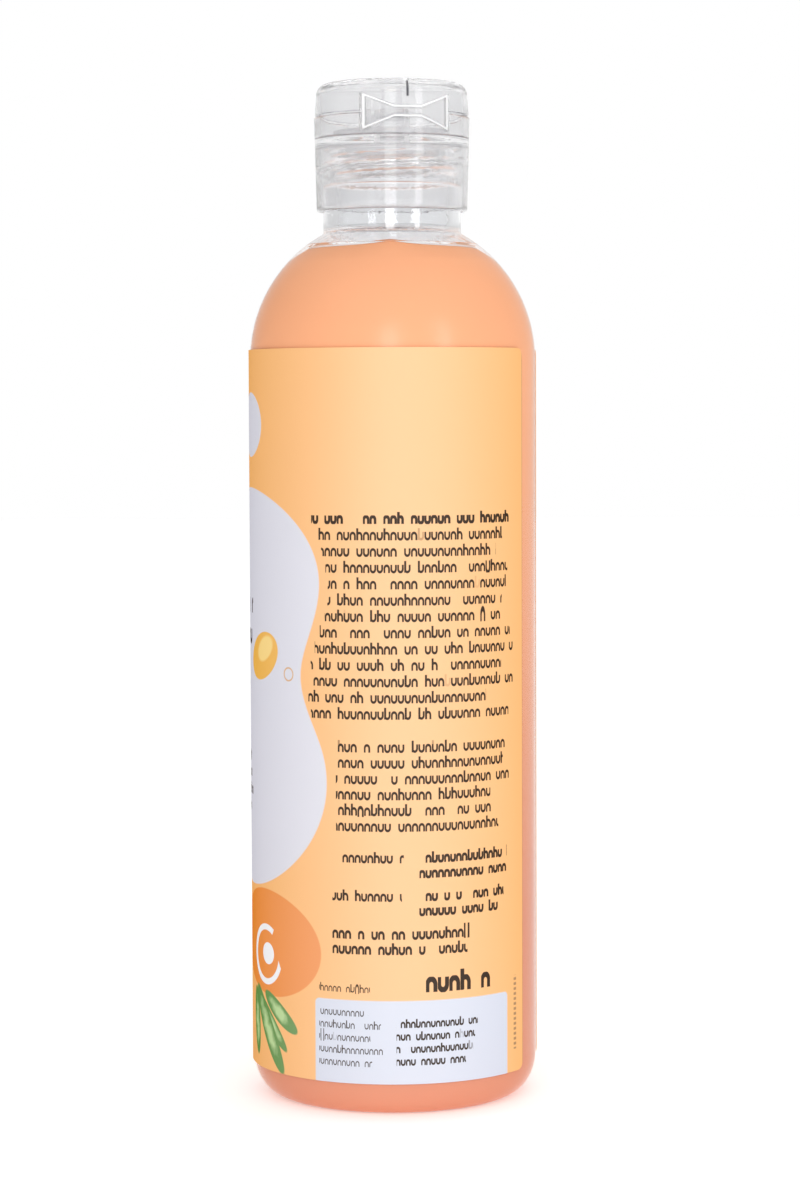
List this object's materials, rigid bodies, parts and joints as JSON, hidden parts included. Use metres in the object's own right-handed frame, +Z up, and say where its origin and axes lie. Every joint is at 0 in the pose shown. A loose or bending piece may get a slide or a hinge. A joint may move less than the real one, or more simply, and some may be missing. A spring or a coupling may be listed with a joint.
{
  "type": "shampoo bottle",
  "caption": "Clear round shampoo bottle with domed shoulder, wrap label, liquid fill and a screw-on flip-top closure with a living hinge.",
  "frame": {"origin": "on the bottle's axis, at the bottom of the ring it stands on", "axes": "+Z up along the bottle's axis; the lid's living hinge is on the -Y side and the thumb recess on the +Y side"},
  "size_m": [0.0506, 0.0506, 0.1772],
  "materials": {
    "clear_pet": "clear gloss",
    "peach_shampoo": "pearly opaque liquid",
    "label_film": "glossy printed film",
    "clear_pp": "clear moulded",
    "clear_pp_seal": "clear moulded",
    "clear_pp_lid": "clear moulded",
    "clear_pp_hinge": "clear moulded"
  },
  "bodies": {
    "bottle_body": {"bottle": "clear_pet", "shampoo_fill": "peach_shampoo", "label": "label_film"},
    "seal_carrier": {"mouth_seal_ring": "clear_pp_seal"},
    "closure": {"closure_base": "clear_pp"},
    "hinge_webs": {"hinge_strap": "clear_pp_hinge", "hinge_lobe_left": "clear_pp_hinge", "hinge_lobe_right": "clear_pp_hinge"},
    "flip_lid": {"lid": "clear_pp_lid"}
  },
  "joints": [
    {"name": "closure_lift", "type": "slide", "parent": "bottle_body", "child": "seal_carrier", "axis": [0, 0, 1], "range_m": [0, 0.00476]},
    {"name": "closure_turn", "type": "hinge", "parent": "seal_carrier", "child": "closure", "pos_m": [0, 0, 0.1658], "axis": [0, 0, 1], "range_deg": [0, 540]},
    {"name": "lid_hinge", "type": "hinge", "parent": "closure", "child": "flip_lid", "pos_m": [0, -0.0137, 0.17145], "axis": [1, 0, 0], "range_deg": [0, 170]},
    {"name": "web_swing", "type": "hinge", "parent": "closure", "child": "hinge_webs", "pos_m": [0, -0.0137, 0.17145], "axis": [1, 0, 0], "range_deg": [0, 85]}
  ],
  "couplings": [
    {"joint": "closure_turn", "follows": "closure_lift", "rad_per_m": 1979},
    {"joint": "web_swing", "follows": "lid_hinge", "ratio": 0.5}
  ]
}
